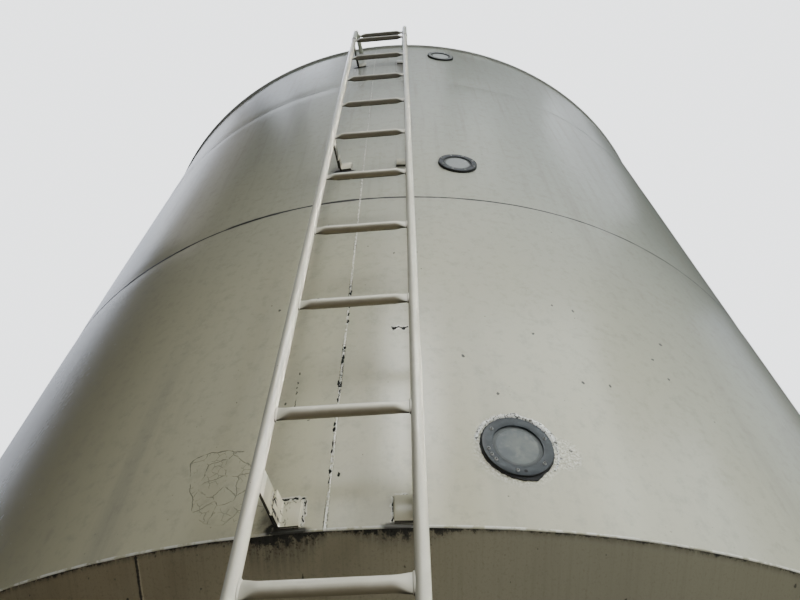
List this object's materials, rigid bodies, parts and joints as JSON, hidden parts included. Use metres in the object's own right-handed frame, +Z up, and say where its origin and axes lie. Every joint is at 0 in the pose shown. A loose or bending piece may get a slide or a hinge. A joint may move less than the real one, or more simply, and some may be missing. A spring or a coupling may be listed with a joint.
{
  "type": "hopper bin",
  "caption": "Round welded steel hopper bin on legs, with a cone and slide gate below, a low cone roof, round sight windows and a wall ladder.",
  "frame": {"origin": "on the ground, in the middle of the plan; the axis of the round bin is 63 mm behind it, because the ladder stands out at the front", "axes": "+Z up; the ladder is on the -Y side, with +X to the right of someone who faces it"},
  "size_m": [3.1162, 3.244, 5.6007],
  "materials": {
    "shell_paint": "cream enamel, semi-gloss, weathered, dirt along the welds",
    "cone_paint": "cream enamel, semi-gloss, streaked and spotted with dark mould",
    "roof_paint": "cream enamel, satin, dusty",
    "frame_paint": "cream enamel, satin, scuffed near the ground",
    "ladder_paint": "light cream enamel, semi-gloss, worn on the rungs",
    "ring_paint": "dark grey enamel, satin, dusty",
    "window_pane": "clear plastic gone cloudy, dusty inside",
    "zinc_plate": "zinc-coated sheet, dull"
  },
  "bodies": {
    "root": {"shell_lower_right": "shell_paint", "shell_lower_left": "shell_paint", "shell_middle_right": "shell_paint", "shell_middle_left": "shell_paint", "shell_upper_right": "shell_paint", "shell_upper_left": "shell_paint", "cone_front_right": "cone_paint", "cone_back": "cone_paint", "cone_front_left": "cone_paint", "outlet_neck": "cone_paint", "roof_front": "roof_paint", "roof_back": "roof_paint", "fill_collar": "roof_paint", "fill_lid": "roof_paint", "hatch_collar": "roof_paint", "hatch_lid": "roof_paint", "leg_front_right": "frame_paint", "leg_back_right": "frame_paint", "leg_back_left": "frame_paint", "leg_front_left": "frame_paint", "foot_plate_front_right": "frame_paint", "foot_plate_back_right": "frame_paint", "foot_plate_back_left": "frame_paint", "foot_plate_front_left": "frame_paint", "outlet_flange": "frame_paint", "slide_gate_frame": "frame_paint", "ladder_rail_left": "ladder_paint", "ladder_rail_right": "ladder_paint", "rung_01": "ladder_paint", "rung_02": "ladder_paint", "rung_03": "ladder_paint", "rung_04": "ladder_paint", "rung_05": "ladder_paint", "rung_06": "ladder_paint", "rung_07": "ladder_paint", "rung_08": "ladder_paint", "rung_09": "ladder_paint", "rung_10": "ladder_paint", "rung_11": "ladder_paint", "rung_12": "ladder_paint", "rung_13": "ladder_paint", "rung_14": "ladder_paint", "rung_15": "ladder_paint", "rung_16": "ladder_paint", "rung_top": "ladder_paint", "ladder_bracket_lower_left": "ladder_paint", "ladder_bracket_lower_right": "ladder_paint", "ladder_bracket_middle_left": "ladder_paint", "ladder_bracket_middle_right": "ladder_paint", "ladder_bracket_upper_left": "ladder_paint", "ladder_bracket_upper_right": "ladder_paint", "window_ring_lower": "ring_paint", "window_ring_middle": "ring_paint", "window_ring_upper": "ring_paint", "window_pane_lower": "window_pane", "window_pane_middle": "window_pane", "window_pane_upper": "window_pane", "slide_gate_blade": "zinc_plate"}
  },
  "joints": []
}
